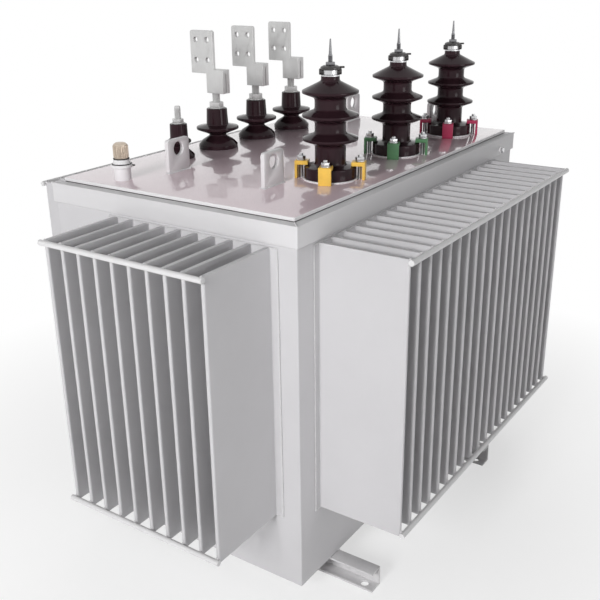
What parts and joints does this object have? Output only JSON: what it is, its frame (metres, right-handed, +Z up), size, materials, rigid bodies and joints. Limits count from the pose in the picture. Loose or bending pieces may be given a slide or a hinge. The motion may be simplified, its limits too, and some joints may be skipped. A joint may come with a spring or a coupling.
{
  "type": "oil-filled distribution transformer",
  "caption": "Distribution transformer with a welded oil tank, corrugated cooling fins on all sides, lid-mounted high and low voltage bushings, lifting lugs and skids.",
  "frame": {"origin": "on the floor under the middle of the tank and its fins", "axes": "+X along the tank, +Y to the low-voltage side, +Z up"},
  "size_m": [1.4924, 1.0804, 1.184],
  "materials": {
    "tank_paint": "semi-gloss light grey",
    "porcelain": "glazed dark brown",
    "phase_a_paint": "yellow paint",
    "phase_b_paint": "green paint",
    "phase_c_paint": "red paint",
    "cap_enamel": "dark enamel",
    "terminal_steel": "zinc plated",
    "tinned_copper": "tin plated, satin",
    "valve_brass": "dull brass",
    "core_and_oil": "sealed inside, never seen"
  },
  "bodies": {
    "root": {"tank_floor": "tank_paint", "front_wall": "tank_paint", "back_wall": "tank_paint", "left_wall": "tank_paint", "right_wall": "tank_paint", "long_rims": "tank_paint", "short_rims": "tank_paint", "lid": "tank_paint", "front_fins": "tank_paint", "back_fins": "tank_paint", "left_fins": "tank_paint", "right_fins": "tank_paint", "front_rods": "tank_paint", "back_rods": "tank_paint", "left_rods": "tank_paint", "right_rods": "tank_paint", "left_skid": "tank_paint", "right_skid": "tank_paint", "left_lugs": "tank_paint", "right_lugs": "tank_paint", "filler_neck": "tank_paint", "hv_bushing_a": "porcelain", "hv_bushing_b": "porcelain", "hv_bushing_c": "porcelain", "lv_bushing_a": "porcelain", "lv_bushing_b": "porcelain", "lv_bushing_c": "porcelain", "neutral_bushing": "porcelain", "hv_clamps_a": "phase_a_paint", "hv_clamps_b": "phase_b_paint", "hv_clamps_c": "phase_c_paint", "hv_cap_a": "cap_enamel", "hv_cap_b": "cap_enamel", "hv_cap_c": "cap_enamel", "hv_terminal_a": "terminal_steel", "hv_terminal_b": "terminal_steel", "hv_terminal_c": "terminal_steel", "lv_stud_a": "tinned_copper", "lv_stud_b": "tinned_copper", "lv_stud_c": "tinned_copper", "lv_flag_a": "tinned_copper", "lv_flag_b": "tinned_copper", "lv_flag_c": "tinned_copper", "neutral_stud": "tinned_copper", "filler_cap": "valve_brass", "tank_filling": "core_and_oil"}
  },
  "joints": []
}
